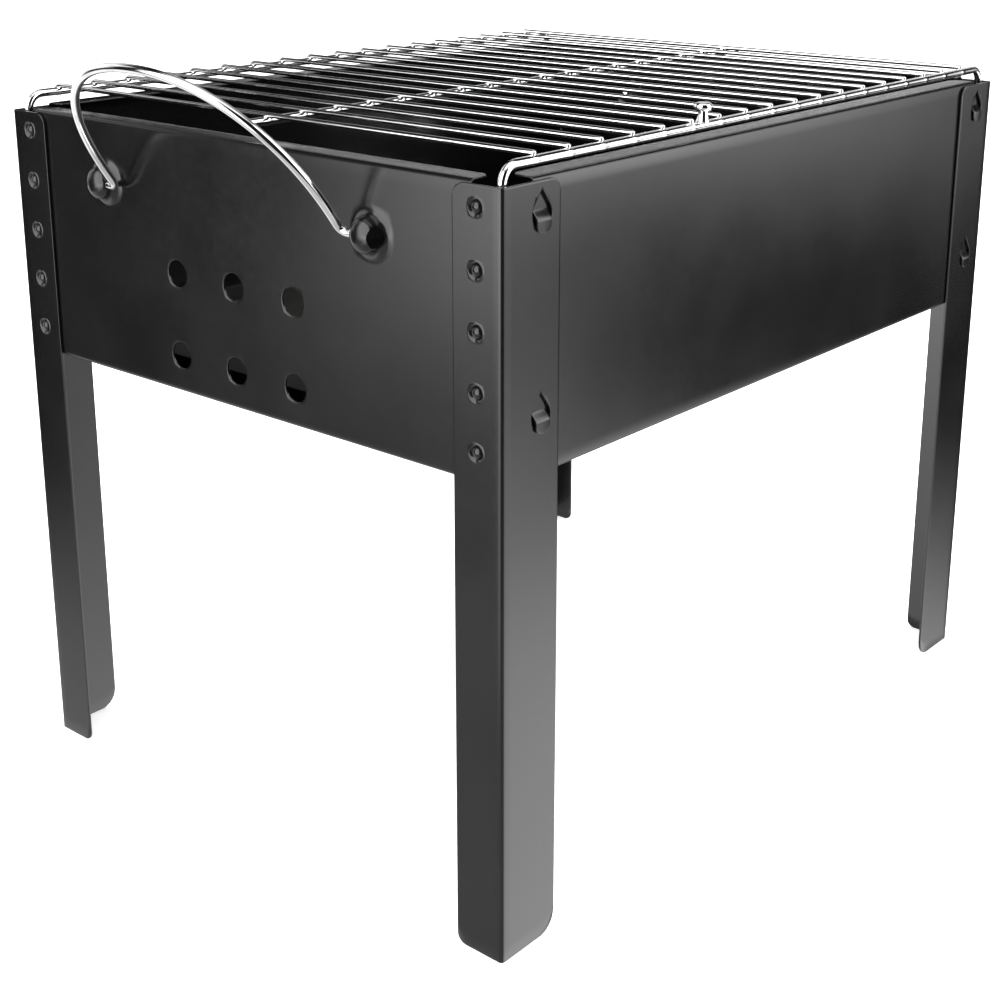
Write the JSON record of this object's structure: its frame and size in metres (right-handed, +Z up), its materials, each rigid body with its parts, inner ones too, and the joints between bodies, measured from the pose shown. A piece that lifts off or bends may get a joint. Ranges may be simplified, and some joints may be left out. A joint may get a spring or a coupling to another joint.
{
  "type": "knock-down charcoal camp grill",
  "caption": "Rectangular sheet-steel charcoal grill on angle legs, with a lift-off wire grate, swinging wire handles and hook-on side panels.",
  "frame": {"origin": "on the ground under the middle of the whole grill, its handles included; the middle of the four feet is 21.6 mm from it towards +Y", "axes": "+X across the width towards the right side panel, +Y along the length towards the rear end panel, +Z up"},
  "size_m": [0.3226, 0.4766, 0.3797],
  "materials": {
    "black_paint": "glossy black powder paint",
    "rivet_paint": "satin black",
    "tray_paint": "matt heat-resistant black",
    "chrome": "bright plated wire"
  },
  "bodies": {
    "root": {"leg_front_left": "black_paint", "leg_front_right": "black_paint", "leg_rear_left": "black_paint", "leg_rear_right": "black_paint", "end_panel_front": "black_paint", "end_panel_rear": "black_paint", "rivet_front_left_1": "rivet_paint", "rivet_front_left_2": "rivet_paint", "rivet_front_left_3": "rivet_paint", "rivet_front_left_4": "rivet_paint", "rivet_front_left_5": "rivet_paint", "rivet_front_right_1": "rivet_paint", "rivet_front_right_2": "rivet_paint", "rivet_front_right_3": "rivet_paint", "rivet_front_right_4": "rivet_paint", "rivet_front_right_5": "rivet_paint", "rivet_rear_left_1": "rivet_paint", "rivet_rear_left_2": "rivet_paint", "rivet_rear_left_3": "rivet_paint", "rivet_rear_left_4": "rivet_paint", "rivet_rear_left_5": "rivet_paint", "rivet_rear_right_1": "rivet_paint", "rivet_rear_right_2": "rivet_paint", "rivet_rear_right_3": "rivet_paint", "rivet_rear_right_4": "rivet_paint", "rivet_rear_right_5": "rivet_paint"},
    "side_panel_left": {"side_panel_left": "black_paint"},
    "side_panel_right": {"side_panel_right": "black_paint"},
    "charcoal_tray": {"charcoal_tray": "tray_paint"},
    "handle_front": {"handle_front": "chrome"},
    "handle_rear": {"handle_rear": "chrome"},
    "grate": {"grate_rod_left": "chrome", "grate_rod_right": "chrome", "grate_rod_centre": "chrome", "grate_wire_01": "chrome", "grate_wire_02": "chrome", "grate_wire_03": "chrome", "grate_wire_04": "chrome", "grate_wire_05": "chrome", "grate_wire_06": "chrome", "grate_wire_07": "chrome", "grate_wire_08": "chrome", "grate_wire_09": "chrome", "grate_wire_10": "chrome", "grate_wire_11": "chrome", "grate_wire_12": "chrome", "grate_wire_13": "chrome", "grate_wire_14": "chrome", "grate_wire_15": "chrome", "grate_wire_16": "chrome", "grate_wire_17": "chrome", "grate_wire_18": "chrome", "grate_knob": "chrome"}
  },
  "joints": [
    {"name": "handle_front_swing", "type": "hinge", "parent": "root", "child": "handle_front", "pos_m": [0, -0.19106, 0.313], "axis": [1, 0, 0], "range_deg": [-35, 145]},
    {"name": "handle_rear_swing", "type": "hinge", "parent": "root", "child": "handle_rear", "pos_m": [0, 0.23434, 0.313], "axis": [-1, 0, 0], "range_deg": [-180, 0]},
    {"name": "grate_lift", "type": "slide", "parent": "root", "child": "grate", "axis": [0, 0, 1], "range_m": [0, 0.08]},
    {"name": "tray_lift", "type": "slide", "parent": "root", "child": "charcoal_tray", "axis": [0, 0, 1], "range_m": [0, 0.1]},
    {"name": "side_panel_left_unhook", "type": "slide", "parent": "root", "child": "side_panel_left", "axis": [0, 0, 1], "range_m": [0, 0.002]},
    {"name": "side_panel_right_unhook", "type": "slide", "parent": "root", "child": "side_panel_right", "axis": [0, 0, 1], "range_m": [0, 0.002]}
  ]
}
